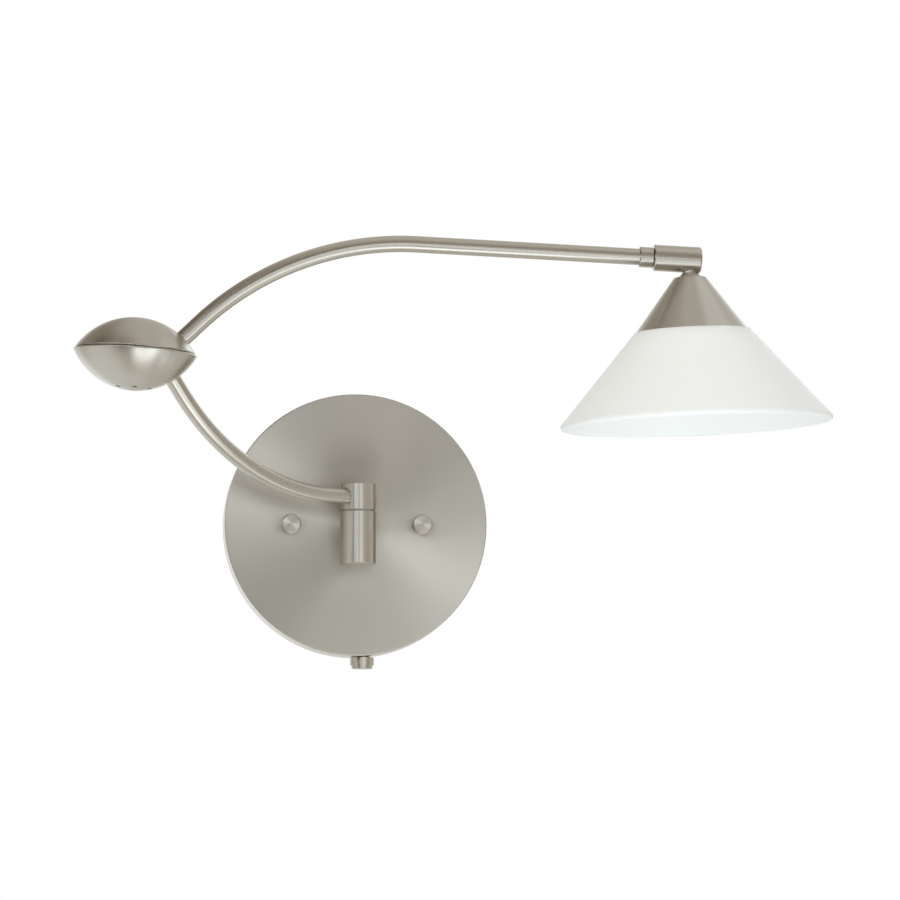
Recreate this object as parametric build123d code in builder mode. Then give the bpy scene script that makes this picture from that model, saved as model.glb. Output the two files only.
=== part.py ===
from build123d import *
import os
from math import asin, atan2, cos, degrees, radians, sin, sqrt, tan

# Swing arm wall lamp, in millimetres. The origin is the centre of the canopy's back, on the wall.
# +X runs to the right along the wall, +Y goes into the wall and +Z is up.

# Fits
thread_clearance = 0.05
running_clearance = 0.06
slide_gap = 0.05
body_gap = 0.3
stop_margin = 3.0

# Canopy and what it hangs on
canopy_diameter = 127.0
canopy_depth = 19.0
canopy_wall = 1.2
canopy_edge_radius = 0.6
crossbar_length = 108.0
crossbar_width = 20.0
crossbar_thickness = 2.0
crossbar_corner = 6.0
crossbar_wire_hole = 11.0
box_screw_spacing = 88.9
box_slot_length = 12.0
box_slot_width = 4.8
stud_spacing = 63.5
stud_diameter = 4.2
stud_nut_flats = 7.0
stud_nut_height = 3.2
cap_nut_diameter = 9.2
cap_nut_height = 9.5
cap_nut_crown = 2.5
cap_nut_chamfer = 0.5
ground_screw_offset = 18.0
ground_screw_diameter = 3.5
ground_head_diameter = 8.0
ground_head_height = 2.6
ground_slot_width = 1.0

# Dimmer under the canopy
dimmer_offset = 3.6
dimmer_width = 20.0
dimmer_height = 14.0
dimmer_thickness = 14.0
dimmer_corner = 1.75
dimmer_bush_diameter = 7.0
dimmer_bush_reach = 2.1
dimmer_nut_diameter = 9.0
dimmer_nut_height = 1.6
dimmer_shaft_diameter = 5.9
dimmer_shaft_sink = 5.0
knob_diameter = 11.6
knob_height = 5.4
knob_step_diameter = 10.1
knob_step_height = 1.6
knob_skirt_wall = 0.9
knob_end_wall = 1.2

# Wall hinge
barrel_diameter = 17.5
barrel_height = 25.4
barrel_drop = 20.0
barrel_standoff = 15.0
hinge_chamfer = 0.3
hub_height = 12.7
hub_wire_bore = 6.4
spigot_diameter = 10.0
spigot_length = 11.4
pivot_washer_diameter = 16.4
pivot_washer_height = 0.5
pivot_screw_diameter = 3.0
pivot_screw_drop = 5.4
pivot_groove_depth = 0.7
nipple_rise = 8.0
nipple_diameter = 10.0
nipple_bore = 7.0
nipple_tail = 0.5
nipple_nut_flats = 14.0
nipple_nut_height = 4.0
nipple_washer_diameter = 17.0
nipple_washer_height = 1.0
spacer_diameter = 13.0
swing_to_left = 38.7
swing_to_right = 141.3

# Arms: bent tubes of one size
tube_diameter = 7.94
tube_wall = 1.0
lead_diameter = 4.6
tube_seat = 4.4
lower_bearing = 51.3
lower_level_run = 19.1
lower_bend_radius = 124.5
lower_rise = 49.4
lower_end_run = 18.8
upper_bearing = 3.1
upper_entry_run = 17.5
upper_exit_slope = 47.3
upper_bend_radius = 142.2
upper_end_slope = 1.45
upper_end_run = 106.8

# Elbow housing and its pivot
elbow_lean = 3.9
lower_socket_reach = 17.2
lower_socket_drop = 3.9
upper_socket_reach = 17.9
upper_socket_rise = 3.2
lower_bowl_diameter = 59.3
lower_bowl_depth = 18.6
bowl_step = 0.7
upper_bowl_height = 16.1
bowl_wall = 1.0
bowl_lip_radius = 0.6
upper_bowl_diameter = lower_bowl_diameter - 2 * bowl_step
seam_gap = 0.14
vent_count = 6
vent_diameter = 2.4
vent_ring_diameter = 17.0
socket_diameter = 22.0
socket_height = 9.4
socket_boss_diameter = 11.6
socket_boss_reach = 7.0
socket_wire_bore = 4.6
elbow_washer_diameter = 13.0
elbow_washer_height = 1.2
elbow_stop_ring = 17.4
elbow_stop_diameter = 2.4
elbow_stop_sink = 3.0
elbow_turn_back = 20.0
elbow_turn_out = 309.0
elbow_post_diameter = 8.0
elbow_post_bore = 5.0
elbow_spring_diameter = 14.0
elbow_spring_height = 0.8
elbow_nut_flats = 13.0
elbow_nut_height = 3.2

# Swivel at the end of the upper arm
collar_diameter = 9.9
collar_length = 6.8
collar_grip = 4.0
collar_chamfer = 0.4
swivel_diameter = 12.7
swivel_length = 22.9
swivel_end_radius = 1.1
spindle_diameter = 7.0
spindle_bore = 4.4
spindle_reach = 13.0
spindle_groove_depth = 0.7
swivel_screw_diameter = 2.5
swivel_screw_place = 7.0
head_turn = 135.0

# Head
stem_place = 17.4
stem_splay = 4.9
stem_diameter = 5.0
stem_bore = 3.4
stem_thread = 4.2
stem_cone_top = 7.4
stem_cone_bottom = 11.4
stem_nut_flats = 8.0
stem_nut_height = 5.6
cup_nut_height = 2.4
cap_drop = 8.4
cap_top_diameter = 15.3
cap_bottom_diameter = 54.5
cap_height = 25.8
cap_wall = 0.9
cap_shoulder_radius = 1.2
glass_top_diameter = 55.4
glass_rim_diameter = 130.2
glass_height = 45.3
glass_thickness = 3.2
cup_top_diameter = 21.2
cup_wall = 0.8
cup_flange = 4.5
holder_diameter = 18.4
holder_height = 19.0
holder_recess_depth = 7.0
holder_screw_diameter = 2.0
holder_screw_spacing = 13.2
holder_screw_head = 3.8
holder_screw_head_height = 1.2
pinch_width = 12.4
pinch_thickness = 5.0
pinch_embed = 2.0
lamp_diameter = 13.8
lamp_length = 36.0
pin_spacing = 9.0
pin_diameter = 1.2
pin_length = 5.5

stand = (Align.CENTER, Align.CENTER, Align.MIN)


def bar(plane, start, length, diameter, mode=Mode.ADD):
    """A round bar, or a round hole, on the plane's axis from start over length."""
    with Locations(plane.offset(start)):
        Cylinder(diameter / 2, length, align=stand, mode=mode)


def hex_nut(plane, start, height, flats, bore):
    """A plain hexagon nut with its through bore."""
    with BuildSketch(plane.offset(start)) as outline:
        RegularPolygon(flats / 2, 6, major_radius=False)
        Circle(bore / 2, mode=Mode.SUBTRACT)
    extrude(outline.sketch, amount=height)


def rings(piece, diameter):
    """The circular edges of a piece that have this diameter."""
    circles = piece.edges().filter_by(GeomType.CIRCLE)
    return [edge for edge in circles if abs(2 * edge.radius - diameter) < slide_gap]


def at_angle(base, side, angle):
    """The unit direction that lies at an angle from base towards side."""
    return base * cos(radians(angle)) + side * sin(radians(angle))


# Frames. room looks out of the wall: its X is the lamp's X, its Y is up, and offsets go into the room.
up = Vector(0, 0, 1)
into_wall = Vector(0, 1, 0)
rightwards = Vector(1, 0, 0)
canopy_radius = canopy_diameter / 2
room = Plane(origin=(0, 0, 0), x_dir=rightwards, z_dir=-into_wall)
stud_planes = [
    Plane(origin=(side * stud_spacing / 2, 0, 0), x_dir=rightwards, z_dir=-into_wall)
    for side in (-1, 1)
]

# The canopy is a spun pan, open at the back, with holes for the studs, the hinge and the dimmer.
barrel_base = -barrel_drop
barrel_top = barrel_base + barrel_height
nipple_height = barrel_base + nipple_rise
hinge_depth = canopy_depth + barrel_standoff
nipple_plane = Plane(origin=(0, 0, nipple_height), x_dir=rightwards, z_dir=-into_wall)
dimmer_plane = Plane(origin=(dimmer_offset, -canopy_depth / 2, 0), x_dir=rightwards, z_dir=-up)
with BuildPart() as canopy:
    with BuildSketch(room):
        Circle(canopy_radius)
    extrude(amount=canopy_depth)
    offset(amount=-canopy_wall, openings=canopy.faces().sort_by(Axis.Y)[-1])
    fillet(canopy.edges().sort_by(Axis.Y)[0], canopy_edge_radius)
    for plane in stud_planes:
        bar(plane, canopy_depth - 2 * canopy_wall, 3 * canopy_wall,
            stud_diameter + 2 * body_gap, Mode.SUBTRACT)
    bar(nipple_plane, canopy_depth - 2 * canopy_wall, 3 * canopy_wall,
        nipple_diameter + 2 * thread_clearance, Mode.SUBTRACT)
    bar(dimmer_plane, canopy_radius / 2, canopy_radius,
        dimmer_bush_diameter + 2 * thread_clearance, Mode.SUBTRACT)

# The crossbar is the flat steel strap that screws to the outlet box through two slots.
with BuildPart() as crossbar:
    with BuildSketch(room):
        RectangleRounded(crossbar_length, crossbar_width, crossbar_corner)
        with Locations((-box_screw_spacing / 2, 0), (box_screw_spacing / 2, 0)):
            SlotOverall(box_slot_length, box_slot_width, mode=Mode.SUBTRACT)
        with Locations((-stud_spacing / 2, 0), (stud_spacing / 2, 0)):
            Circle(stud_diameter / 2 + thread_clearance, mode=Mode.SUBTRACT)
        with Locations((ground_screw_offset, 0)):
            Circle(ground_screw_diameter / 2 + thread_clearance, mode=Mode.SUBTRACT)
        Circle(crossbar_wire_hole / 2, mode=Mode.SUBTRACT)
    extrude(amount=crossbar_thickness)

ground_plane = Plane(origin=(ground_screw_offset, 0, 0), x_dir=rightwards, z_dir=-into_wall)
with BuildPart() as ground_screw:
    bar(ground_plane, 0, crossbar_thickness, ground_screw_diameter)
    bar(ground_plane, crossbar_thickness, ground_head_height, ground_head_diameter)
    with BuildSketch(ground_plane.offset(crossbar_thickness + ground_head_height / 2)):
        Rectangle(ground_slot_width, 2 * ground_head_diameter)
    extrude(amount=ground_head_height, mode=Mode.SUBTRACT)

# Threaded studs stand in the crossbar, locked by nuts, and come out through the canopy's face.
stud_length = canopy_depth + cap_nut_height - cap_nut_crown
with BuildPart() as canopy_studs:
    for plane in stud_planes:
        bar(plane, 0, stud_length, stud_diameter)

with BuildPart() as stud_nuts:
    for plane in stud_planes:
        hex_nut(plane, crossbar_thickness, stud_nut_height, stud_nut_flats,
                stud_diameter + 2 * thread_clearance)

# Turned cap nuts draw the canopy to the wall.
with BuildPart() as cap_nuts:
    for plane in stud_planes:
        bar(plane, canopy_depth, cap_nut_height, cap_nut_diameter)
    front_rims = cap_nuts.edges().filter_by(GeomType.CIRCLE).group_by(Axis.Y)[0]
    chamfer(front_rims, cap_nut_chamfer)
    for plane in stud_planes:
        bar(plane, canopy_depth, cap_nut_height - cap_nut_crown + slide_gap,
            stud_diameter + 2 * thread_clearance, Mode.SUBTRACT)

# The rotary dimmer stands on the canopy's inner wall, with its bush and nut through the wall.
inner_radius = canopy_radius - canopy_wall
dimmer_seat = sqrt(inner_radius ** 2 - (dimmer_width / 2 + abs(dimmer_offset)) ** 2) - slide_gap
bush_end = canopy_radius + dimmer_bush_reach
shaft_bore = dimmer_shaft_diameter + 2 * running_clearance
with BuildPart() as dimmer_body:
    with BuildSketch(dimmer_plane.offset(dimmer_seat - dimmer_height)):
        RectangleRounded(dimmer_width, dimmer_thickness, dimmer_corner)
    extrude(amount=dimmer_height)
    bar(dimmer_plane, dimmer_seat, bush_end - dimmer_seat, dimmer_bush_diameter)
    bar(dimmer_plane, dimmer_seat - dimmer_shaft_sink, bush_end, shaft_bore, Mode.SUBTRACT)

with BuildPart() as dimmer_nut:
    bar(dimmer_plane, canopy_radius + slide_gap, dimmer_nut_height, dimmer_nut_diameter)
    bar(dimmer_plane, canopy_radius, 2 * dimmer_nut_height,
        dimmer_bush_diameter + 2 * thread_clearance, Mode.SUBTRACT)

# The knob is a smooth turned cup with a stepped end, over the dimmer's nut and pressed on the shaft.
knob_start = canopy_radius + body_gap
knob_end = knob_start + knob_height
knob_floor = bush_end + body_gap
with BuildPart() as dimmer_shaft:
    bar(dimmer_plane, dimmer_seat - dimmer_shaft_sink + slide_gap,
        knob_end - knob_end_wall - dimmer_seat + dimmer_shaft_sink - slide_gap,
        dimmer_shaft_diameter)

with BuildPart() as dimmer_knob:
    bar(dimmer_plane, knob_start, knob_height - knob_step_height, knob_diameter)
    bar(dimmer_plane, knob_end - knob_step_height, knob_step_height, knob_step_diameter)
    bar(dimmer_plane, knob_start, knob_floor - knob_start,
        knob_diameter - 2 * knob_skirt_wall, Mode.SUBTRACT)
    bar(dimmer_plane, knob_start, knob_height - knob_end_wall + slide_gap,
        dimmer_shaft_diameter + 2 * thread_clearance, Mode.SUBTRACT)

# Wall hinge. The fixed barrel stands off the canopy on a spacer and a hollow threaded nipple.
hinge_foot = Plane(origin=(0, -hinge_depth, 0))
hinge_axis = Axis((0, -hinge_depth, 0), up)
spigot_bore = spigot_diameter + 2 * running_clearance
screw_level = barrel_top - pivot_screw_drop
screw_plane = Plane(origin=(0, -hinge_depth, screw_level), x_dir=rightwards, z_dir=into_wall)
bore_floor = barrel_top - spigot_length - nipple_diameter
with BuildPart() as hinge_barrel:
    bar(hinge_foot, barrel_base, barrel_height, barrel_diameter)
    chamfer(hinge_barrel.edges().filter_by(GeomType.CIRCLE), hinge_chamfer)
    bar(hinge_foot, bore_floor, barrel_height, spigot_bore, Mode.SUBTRACT)
    bar(nipple_plane, canopy_depth, barrel_standoff, nipple_diameter + 2 * thread_clearance,
        Mode.SUBTRACT)
    bar(screw_plane, 0, barrel_diameter, pivot_screw_diameter + 2 * thread_clearance, Mode.SUBTRACT)

with BuildPart() as barrel_spacer:
    bar(nipple_plane, canopy_depth, barrel_standoff, spacer_diameter)
    bar(hinge_foot, barrel_base, barrel_height, barrel_diameter + 2 * slide_gap, Mode.SUBTRACT)
    bar(nipple_plane, 0, hinge_depth, nipple_diameter + 2 * thread_clearance, Mode.SUBTRACT)

washer_back = canopy_depth - canopy_wall - nipple_washer_height
nut_back = washer_back - nipple_nut_height
nipple_back = nut_back - nipple_tail
nipple_front = hinge_depth - spigot_bore / 2 - body_gap
with BuildPart() as barrel_nipple:
    bar(nipple_plane, nipple_back, nipple_front - nipple_back, nipple_diameter)
    bar(nipple_plane, nipple_back, nipple_front - nipple_back, nipple_bore, Mode.SUBTRACT)

with BuildPart() as nipple_washer:
    bar(nipple_plane, washer_back, nipple_washer_height, nipple_washer_diameter)
    bar(nipple_plane, washer_back, nipple_washer_height,
        nipple_diameter + 2 * thread_clearance, Mode.SUBTRACT)

with BuildPart() as nipple_nut:
    hex_nut(nipple_plane, nut_back, nipple_nut_height, nipple_nut_flats,
            nipple_diameter + 2 * thread_clearance)

with BuildPart() as pivot_washer:
    bar(hinge_foot, barrel_top, pivot_washer_height, pivot_washer_diameter)
    bar(hinge_foot, barrel_top, pivot_washer_height, spigot_bore, Mode.SUBTRACT)

# The pivot screw's tip runs in a groove round the hub's spigot. The groove's ends stop the swing.
groove_floor = spigot_diameter / 2 - pivot_groove_depth
screw_tip = groove_floor + body_gap
with BuildPart() as pivot_screw:
    bar(screw_plane, screw_tip, barrel_diameter / 2 - screw_tip - slide_gap, pivot_screw_diameter)

# The hub turns on the barrel. Its spigot is hollow for the leads, and the lower arm enters its side.
hub_base = barrel_top + pivot_washer_height + slide_gap
hub_top = hub_base + hub_height
arm_level = (hub_base + hub_top) / 2
along = at_angle(-into_wall, -rightwards, lower_bearing)
lower_plane = Plane(origin=(0, -hinge_depth, 0), x_dir=along, z_dir=along.cross(up))
tube_hole_plane = Plane(origin=(0, -hinge_depth, arm_level), z_dir=along)
screw_half_angle = degrees(asin(pivot_screw_diameter / spigot_diameter)) + stop_margin
groove_arc = swing_to_left + swing_to_right + 2 * screw_half_angle
groove_start = at_angle(into_wall, rightwards, swing_to_right + screw_half_angle)
groove_plane = Plane(origin=hinge_axis.position, x_dir=groove_start, z_dir=groove_start.cross(up))
groove_width = pivot_screw_diameter + 2 * body_gap
tube_bore = tube_diameter - 2 * tube_wall
with BuildPart() as hub:
    bar(hinge_foot, hub_base, hub_height, barrel_diameter)
    chamfer(hub.edges().filter_by(GeomType.CIRCLE), hinge_chamfer)
    bar(hinge_foot, barrel_top - spigot_length, spigot_length + hub_base - barrel_top, spigot_diameter)
    bar(hinge_foot, barrel_top - spigot_length, arm_level - barrel_top + spigot_length,
        hub_wire_bore, Mode.SUBTRACT)
    bar(tube_hole_plane, tube_seat - slide_gap, barrel_diameter,
        tube_diameter + 2 * thread_clearance, Mode.SUBTRACT)
    bar(tube_hole_plane, 0, tube_seat, tube_bore, Mode.SUBTRACT)
    with BuildSketch(groove_plane):
        with Locations((groove_floor, screw_level)):
            Rectangle(spigot_diameter, groove_width, align=(Align.MIN, Align.CENTER))
    revolve(axis=hinge_axis, revolution_arc=groove_arc, mode=Mode.SUBTRACT)

# The lower arm leaves the hub level, bends up in one long arc and runs straight into the elbow.
with BuildLine(lower_plane) as lower_route:
    lower_level = Line((tube_seat, arm_level), (lower_level_run, arm_level))
    lower_bend = JernArc(lower_level @ 1, lower_level % 1, lower_bend_radius, lower_rise)
    Line(lower_bend @ 1, lower_bend @ 1 + (lower_bend % 1) * lower_end_run)
lower_section = Plane(origin=lower_route.line @ 0, z_dir=lower_route.line % 0)
with BuildPart() as lower_arm:
    with BuildSketch(lower_section):
        Circle(tube_diameter / 2)
        Circle(tube_bore / 2, mode=Mode.SUBTRACT)
    sweep(path=lower_route.line)

with BuildPart() as lower_lead:
    with BuildSketch(lower_section):
        Circle(lead_diameter / 2)
    sweep(path=lower_route.line)

# Elbow frame: its axis leans along the upper arm, and its origin lies on the housing's seam.
run = at_angle(rightwards, into_wall, upper_bearing)
elbow_up = at_angle(up, run, elbow_lean)
elbow_out = at_angle(run, -up, elbow_lean)
lower_tip = lower_route.line @ 1
lower_slope = lower_route.line % 1
elbow_centre = lower_tip + along * lower_socket_reach + up * lower_socket_drop
elbow_axis = Axis(elbow_centre, elbow_up)
elbow_plane = Plane(origin=elbow_centre, x_dir=elbow_out, z_dir=elbow_up)
upper_plane = Plane(origin=elbow_centre, x_dir=elbow_out, z_dir=elbow_out.cross(elbow_up))

# The upper arm runs straight out of the elbow, bends over in one arc and ends in a long straight run.
exit_slope = at_angle(elbow_out, elbow_up, upper_exit_slope)
end_slope = at_angle(elbow_out, elbow_up, upper_end_slope)
with BuildLine(upper_plane) as upper_route:
    entry_start = elbow_centre + elbow_out * upper_socket_reach + elbow_up * upper_socket_rise
    upper_entry = Line(entry_start, entry_start + exit_slope * upper_entry_run)
    upper_bend = JernArc(upper_entry @ 1, exit_slope, upper_bend_radius,
                         upper_end_slope - upper_exit_slope)
    Line(upper_bend @ 1, upper_bend @ 1 + end_slope * (upper_end_run + collar_grip))
upper_section = Plane(origin=upper_route.line @ 0, z_dir=upper_route.line % 0)
with BuildPart() as upper_arm:
    with BuildSketch(upper_section):
        Circle(tube_diameter / 2)
        Circle(tube_bore / 2, mode=Mode.SUBTRACT)
    sweep(path=upper_route.line)

with BuildPart() as upper_lead:
    with BuildSketch(upper_section):
        Circle(lead_diameter / 2)
    sweep(path=upper_route.line)

# The elbow housing is two spun bowls, each a spherical cap, with a fine seam between them.
tube_hole = tube_diameter + 2 * body_gap
lower_tube_plane = Plane(origin=lower_tip, z_dir=-lower_slope)
upper_tube_plane = Plane(origin=upper_route.line @ 0, z_dir=exit_slope)


def bowl_arc(diameter, depth):
    """The sphere's radius of a cap with this rim diameter and depth."""
    return ((diameter / 2) ** 2 + depth ** 2) / (2 * depth)


def bowl_section(diameter, depth, side):
    """Half the section of a spun bowl: two arcs round one centre, closed at the rim and the axis."""
    rim = side * seam_gap / 2
    radius = bowl_arc(diameter, depth)
    centre = rim + side * (depth - radius)
    inner_rim = sqrt((radius - bowl_wall) ** 2 - (centre - rim) ** 2)
    pole = centre + side * radius
    inner_pole = pole - side * bowl_wall
    with BuildSketch(upper_plane) as section:
        with BuildLine():
            RadiusArc((0, pole), (diameter / 2, rim), side * radius)
            Line((diameter / 2, rim), (inner_rim, rim))
            RadiusArc((inner_rim, rim), (0, inner_pole), -side * (radius - bowl_wall))
            Line((0, inner_pole), (0, pole))
        make_face()
    return section.sketch


with BuildPart() as lower_bowl:
    revolve(bowl_section(lower_bowl_diameter, lower_bowl_depth, -1), axis=elbow_axis)
    fillet(rings(lower_bowl, lower_bowl_diameter), bowl_lip_radius)
    bar(lower_tube_plane, 0, lower_bowl_diameter / 2, tube_hole, Mode.SUBTRACT)
    with Locations(elbow_plane.offset(-2 * lower_bowl_depth)):
        with PolarLocations(vent_ring_diameter / 2, vent_count, start_angle=180 / vent_count):
            Cylinder(vent_diameter / 2, 2 * lower_bowl_depth - socket_height,
                     align=stand, mode=Mode.SUBTRACT)

with BuildPart() as upper_bowl:
    revolve(bowl_section(upper_bowl_diameter, upper_bowl_height, 1), axis=elbow_axis)
    fillet(rings(upper_bowl, upper_bowl_diameter), bowl_lip_radius)
    bar(upper_tube_plane, 0, upper_bowl_diameter / 2, tube_hole, Mode.SUBTRACT)

# Cast sockets inside the bowls hold the tube ends and turn on one another about the hollow post.
washer_half = elbow_washer_height / 2
lower_socket_foot = -washer_half - socket_height
upper_socket_base = washer_half + slide_gap
post_bore = elbow_post_diameter + 2 * running_clearance


def socket_body(tube_plane, base, side, diameter, depth):
    """A round hub on the elbow's axis with a boss along the tube, trimmed by its bowl and the seam."""
    radius = bowl_arc(diameter, depth) - bowl_wall - slide_gap
    centre = side * (seam_gap / 2 + depth - bowl_arc(diameter, depth))
    bar(elbow_plane, min(base, base + side * socket_height), socket_height, socket_diameter)
    bar(tube_plane, -socket_boss_reach, socket_boss_reach + diameter / 2, socket_boss_diameter)
    with Locations(elbow_plane.offset(centre)):
        Sphere(radius, mode=Mode.INTERSECT)
    keep = Plane(origin=elbow_plane.offset(base).origin, x_dir=elbow_out, z_dir=elbow_up * side)
    split(bisect_by=keep, keep=Keep.TOP)
    bar(tube_plane, -slide_gap, diameter, tube_diameter + 2 * thread_clearance, Mode.SUBTRACT)
    bar(tube_plane, -socket_wire_bore / 2, socket_wire_bore, socket_wire_bore, Mode.SUBTRACT)
    wire_turn = tube_plane.offset(-socket_wire_bore / 2).origin
    wire_plane = Plane(origin=wire_turn, z_dir=elbow_up * side)
    bar(wire_plane, 0, depth, socket_wire_bore, Mode.SUBTRACT)


# A stop pin in the upper socket runs in an arc groove of the lower one and ends the elbow's turn.
stop_radius = elbow_stop_ring / 2
stop_place = elbow_centre - elbow_out * stop_radius
stop_plane = Plane(origin=stop_place, x_dir=elbow_out, z_dir=elbow_up)
stop_half_angle = degrees(asin(elbow_stop_diameter / elbow_stop_ring)) + stop_margin
stop_groove_arc = elbow_turn_back + elbow_turn_out + 2 * stop_half_angle
elbow_side = elbow_up.cross(elbow_out)
stop_groove_start = at_angle(-elbow_out, -elbow_side, -elbow_turn_out - stop_half_angle)
stop_groove_plane = Plane(origin=elbow_centre, x_dir=stop_groove_start,
                          z_dir=stop_groove_start.cross(elbow_up))
stop_groove_width = elbow_stop_diameter + 2 * body_gap
stop_tip = -washer_half - elbow_stop_sink + body_gap

with BuildPart() as lower_socket:
    socket_body(lower_tube_plane, -washer_half, -1, lower_bowl_diameter, lower_bowl_depth)
    bar(elbow_plane, lower_socket_foot, socket_height, post_bore, Mode.SUBTRACT)
    with BuildSketch(stop_groove_plane):
        with Locations((stop_radius, -washer_half)):
            Rectangle(stop_groove_width, 2 * elbow_stop_sink)
    revolve(axis=elbow_axis, revolution_arc=stop_groove_arc, mode=Mode.SUBTRACT)

with BuildPart() as upper_socket:
    socket_body(upper_tube_plane, upper_socket_base, 1, upper_bowl_diameter, upper_bowl_height)
    bar(elbow_plane, upper_socket_base, socket_height,
        elbow_post_diameter + 2 * thread_clearance, Mode.SUBTRACT)
    bar(stop_plane, upper_socket_base, elbow_stop_sink + slide_gap,
        elbow_stop_diameter + 2 * thread_clearance, Mode.SUBTRACT)

with BuildPart() as elbow_stop:
    bar(stop_plane, stop_tip, upper_socket_base + elbow_stop_sink - stop_tip, elbow_stop_diameter)

with BuildPart() as elbow_washer:
    bar(elbow_plane, -washer_half, elbow_washer_height, elbow_washer_diameter)
    bar(elbow_plane, -washer_half, elbow_washer_height, post_bore + 2 * slide_gap, Mode.SUBTRACT)

spring_foot = lower_socket_foot - slide_gap - elbow_spring_height
elbow_nut_foot = spring_foot - elbow_nut_height
with BuildPart() as elbow_post:
    bar(elbow_plane, elbow_nut_foot, upper_socket_base + socket_height - elbow_nut_foot,
        elbow_post_diameter)
    bar(elbow_plane, elbow_nut_foot, upper_socket_base + socket_height - elbow_nut_foot,
        elbow_post_bore, Mode.SUBTRACT)

with BuildPart() as elbow_spring:
    bar(elbow_plane, spring_foot, elbow_spring_height, elbow_spring_diameter)
    bar(elbow_plane, spring_foot, elbow_spring_height,
        elbow_post_diameter + 2 * thread_clearance, Mode.SUBTRACT)

with BuildPart() as elbow_nut:
    hex_nut(elbow_plane, elbow_nut_foot, elbow_nut_height, elbow_nut_flats,
            elbow_post_diameter + 2 * thread_clearance)

# Swivel: a collar on the tube's end carries a grooved spindle, and the barrel turns on it.
swivel_up = at_angle(elbow_up, -elbow_out, upper_end_slope)
collar_origin = upper_route.line @ 1 - end_slope * collar_grip
swivel_plane = Plane(origin=collar_origin, x_dir=swivel_up, z_dir=end_slope)
swivel_start = collar_length + body_gap / 2
with BuildPart() as swivel_collar:
    bar(swivel_plane, 0, collar_length, collar_diameter)
    chamfer(swivel_collar.edges().filter_by(GeomType.CIRCLE), collar_chamfer)
    bar(swivel_plane, 0, collar_grip + slide_gap / 2, tube_diameter + 2 * thread_clearance,
        Mode.SUBTRACT)
    bar(swivel_plane, 0, collar_length, spindle_diameter + 2 * thread_clearance, Mode.SUBTRACT)

spindle_start = collar_grip + slide_gap
groove_place = swivel_start + swivel_screw_place
spindle_groove_floor = spindle_diameter / 2 - spindle_groove_depth
head_screw_half_angle = degrees(asin(swivel_screw_diameter / spindle_diameter)) + stop_margin
spindle_groove_arc = 2 * (head_turn + head_screw_half_angle)
swivel_side = end_slope.cross(swivel_up)
spindle_groove_start = at_angle(swivel_up, swivel_side, -head_turn - head_screw_half_angle)
spindle_groove_plane = Plane(origin=collar_origin, x_dir=spindle_groove_start,
                             z_dir=spindle_groove_start.cross(end_slope))
with BuildPart() as swivel_spindle:
    spindle_length = swivel_start + spindle_reach - spindle_start
    bar(swivel_plane, spindle_start, spindle_length, spindle_diameter)
    bar(swivel_plane, spindle_start, spindle_length, spindle_bore, Mode.SUBTRACT)
    with BuildSketch(spindle_groove_plane):
        with Locations((spindle_groove_floor, groove_place)):
            Rectangle(spindle_diameter, swivel_screw_diameter + 2 * body_gap,
                      align=(Align.MIN, Align.CENTER))
    revolve(axis=Axis(collar_origin, end_slope), revolution_arc=spindle_groove_arc,
            mode=Mode.SUBTRACT)

# The stem hangs from the swivel barrel, splayed a little outwards. shade looks down along it.
stem_origin = collar_origin + end_slope * (swivel_start + stem_place)
stem_down = at_angle(-swivel_up, end_slope, stem_splay)
stem_out = at_angle(end_slope, swivel_up, stem_splay)
shade = Plane(origin=stem_origin, x_dir=stem_out, z_dir=stem_down)
shade_section = Plane(origin=stem_origin, x_dir=stem_out, z_dir=stem_out.cross(stem_down))
shade_axis = Axis(stem_origin, stem_down)
swivel_screw_plane = Plane(origin=collar_origin + end_slope * groove_place, z_dir=swivel_up)
stem_top = swivel_diameter / 2 - stem_thread
with BuildPart() as swivel_barrel:
    bar(swivel_plane, swivel_start, swivel_length, swivel_diameter)
    swivel_ends = swivel_barrel.edges().filter_by(GeomType.CIRCLE).sort_by(Axis(collar_origin, end_slope))
    fillet(swivel_ends[-1], swivel_end_radius)
    chamfer(swivel_ends[0], collar_chamfer)
    bar(swivel_plane, swivel_start, spindle_reach + body_gap,
        spindle_diameter + 2 * running_clearance, Mode.SUBTRACT)
    bar(swivel_plane, swivel_start, stem_place, stem_bore, Mode.SUBTRACT)
    bar(shade, stem_top - slide_gap, swivel_diameter, stem_diameter + 2 * thread_clearance,
        Mode.SUBTRACT)
    bar(shade, 0, swivel_diameter / 2, stem_bore, Mode.SUBTRACT)
    bar(swivel_screw_plane, 0, swivel_diameter, swivel_screw_diameter + 2 * thread_clearance,
        Mode.SUBTRACT)

with BuildPart() as swivel_screw:
    swivel_screw_tip = spindle_groove_floor + body_gap
    bar(swivel_screw_plane, swivel_screw_tip,
        swivel_diameter / 2 - swivel_screw_tip - body_gap, swivel_screw_diameter)

cap_top = cap_drop
cap_bottom = cap_drop + cap_height
cup_top = cap_drop + cap_wall + stem_nut_height
cup_nut_start = cup_top + cup_wall
stem_end = cup_nut_start + cup_nut_height
stem_hole = stem_diameter + 2 * thread_clearance
with BuildPart() as stem:
    bar(shade, stem_top, stem_end - stem_top, stem_diameter)
    bar(shade, stem_top, stem_end - stem_top, stem_bore, Mode.SUBTRACT)

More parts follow.
